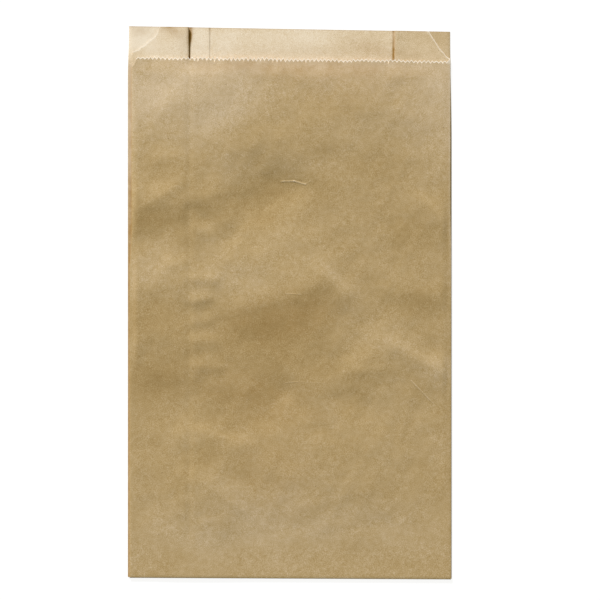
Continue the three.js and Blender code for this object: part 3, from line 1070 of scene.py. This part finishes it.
def sharpen_rim(mesh, rim):
    """The skins meet the rim at sharp edges."""
    along = {tuple(sorted(pair)) for a, b, c, d in rim for pair in ((a, b), (c, d))}
    corners = np.empty(2 * len(mesh.edges), dtype=np.int32)
    mesh.edges.foreach_get("vertices", corners)
    sharp = [tuple(sorted(pair)) in along for pair in corners.reshape(-1, 2).tolist()]
    layer = mesh.attributes.new("sharp_edge", "BOOLEAN", "EDGE")
    layer.data.foreach_set("value", sharp)


bag = bpy.data.objects.new("kraft_bag_sheet", thick_sheet("kraft_bag_sheet", sheet, paper))
bpy.context.collection.objects.link(bag)

# %% [markdown]
# ## Kraft paper
#
# Kraft is a mat of brown fibres. Held to the light it is cloudy, and close up it has a fine grain,
# a few dark specks of bark, and hairs of fibre. The outer face was dried on a polished cylinder, so it
# is smoother and darker, and the inner face is paler and woollier. All of that is noise at its own
# size, in the object's own place, so it sits on the paper from any side.

# %% Kraft finishes
outer_kraft = [linear(140, 112, 63), linear(175, 150, 104), linear(210, 190, 159)]
inner_kraft = [linear(186, 161, 118), linear(220, 199, 164), linear(238, 224, 200)]
torn_fibre = linear(244, 234, 216)
# The brown of rubbed folds, also used for painted shadows and warm painted shade.
rubbed_and_shaded_brown = linear(156, 118, 58)
speck_brown = linear(104, 76, 46)


#       from       to  width height, of the sharp creases that break the front's fibres
creases = [
    (-4.8, 67.4, 2.4, 67.6, 0.8, 0.8),
    (2.4, 67.6, 8.6, 65.8, 0.9, 1.0),
    (8.6, 65.8, 11.4, 67.6, 0.6, 0.3),
    (-2.5, 5.2, 6.6, 4.6, 0.5, 0.45),
    (-2.0, -44.4, 4.5, -43.9, 0.5, 0.4),
    (4.5, -43.9, 20.0, -44.4, 0.5, 0.15),
    (67.4, -43.2, 79.4, -55.5, 0.5, 0.6),
]


def crease(paint, x, y, spec):
    """A ridge of this height along a line, that falls to nothing at its width."""
    x1, y1, x2, y2, width, height = spec
    length = math.hypot(x2 - x1, y2 - y1)
    ux = (x2 - x1) / length
    uy = (y2 - y1) / length
    along = (x - (x1 + x2) / 2) * ux + (y - (y1 + y2) / 2) * uy
    aside = (y - y1) * ux - (x - x1) * uy
    past = paint.node("ShaderNodeMath", {"operation": "ABSOLUTE"}, {0: along}) - length / 2
    past = paint.node("ShaderNodeMath", {"operation": "MAXIMUM"}, {0: past, 1: 0.0})
    away = paint.node("ShaderNodeMath", {"operation": "SQRT"}, {0: aside * aside + past * past})
    return paint.node("ShaderNodeMapRange", {"interpolation_type": "SMOOTHSTEP"}, {
        "Value": away, "From Min": 0.0, "From Max": width, "To Min": height, "To Max": 0.0})


def kraft(name, colours, cloud_depth, grain_depth, roughness, creased=()):
    paint = Finish(name)
    place = paint.node("ShaderNodeTexCoord", {}, {}, "Object")
    cloud = paint.noise(place, 2.6 * MM, 3.0)
    drift = paint.noise(place, 22 * MM, 2.0)
    grain = paint.noise(place, 0.36 * MM, 1.0)
    level = paint.mark("shade") + cloud * cloud_depth + grain * grain_depth + drift * 0.2 + 0.5
    ridges = 0.0 * grain
    if creased:
        x = paint.node("ShaderNodeSeparateXYZ", {}, {0: place}, "X") * 1000.0
        y = paint.node("ShaderNodeSeparateXYZ", {}, {0: place}, "Y") * 1000.0
        z = paint.node("ShaderNodeSeparateXYZ", {}, {0: place}, "Z") * 1000.0
        on_front = paint.node("ShaderNodeMath", {"operation": "GREATER_THAN"}, {0: z, 1: 0.8})
        for spec in creased:
            ridges = ridges + crease(paint, x, y, spec) * on_front
        level = level + ridges * 0.35

    def paper_colour(trio):
        stops = list(zip((0.0, 0.5, 1.0), trio))
        return paint.node("ShaderNodeValToRGB", {"stops": stops}, {"Fac": level}, "Color")

    base = paint.mix(paint.mark("bare"), paper_colour(colours), paper_colour(inner_kraft))
    blotches = paint.noise(place, 6 * MM, 3.0)
    # Brown where the paper is rubbed, and brown as painted shadow beside folds and the lap's edge and as
    # warm painted shade in hollows.
    base = paint.mix(paint.mark("burn") * (1.0 + blotches * 2.2), base, rubbed_and_shaded_brown)
    bark = paint.node(
        "ShaderNodeTexVoronoi", {}, {"Vector": place, "Scale": 1 / (9 * MM)}, "Distance")
    speck = paint.node("ShaderNodeMapRange", {"interpolation_type": "SMOOTHSTEP"}, {
        "Value": bark, "From Min": 0.015, "From Max": 0.04, "To Min": 0.7, "To Max": 0.0})
    base = paint.mix(speck, base, speck_brown)
    base = paint.mix(paint.mark("fringe"), base, torn_fibre)
    dents = paint.node("ShaderNodeBump", {}, {
        "Strength": 1.0, "Distance": 0.03 * MM, "Height": grain + cloud + ridges * 3.0})
    surface = paint.node("ShaderNodeBsdfPrincipled", {}, {
        "Base Color": base,
        "Roughness": roughness,
        "Specular IOR Level": 0.06,
        "Normal": dents,
    })
    return paint.finish(surface)


bag.data.materials.append(kraft("kraft_outside", outer_kraft, 0.36, 1.1, 0.7, creases))
bag.data.materials.append(kraft("kraft_inside", inner_kraft, 0.4, 1.5, 0.9))
bag.data.materials.append(kraft("kraft_cut_edge", [torn_fibre] * 3, 0.2, 0.3, 0.95))

# %% [markdown]
# ## Handing over
#
# The sheet stands for the plain CAD solid, which is hidden but keeps its place in the physics.

# %% Tie the sheet to the frame
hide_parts("paper_bag")
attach(bag, "root")
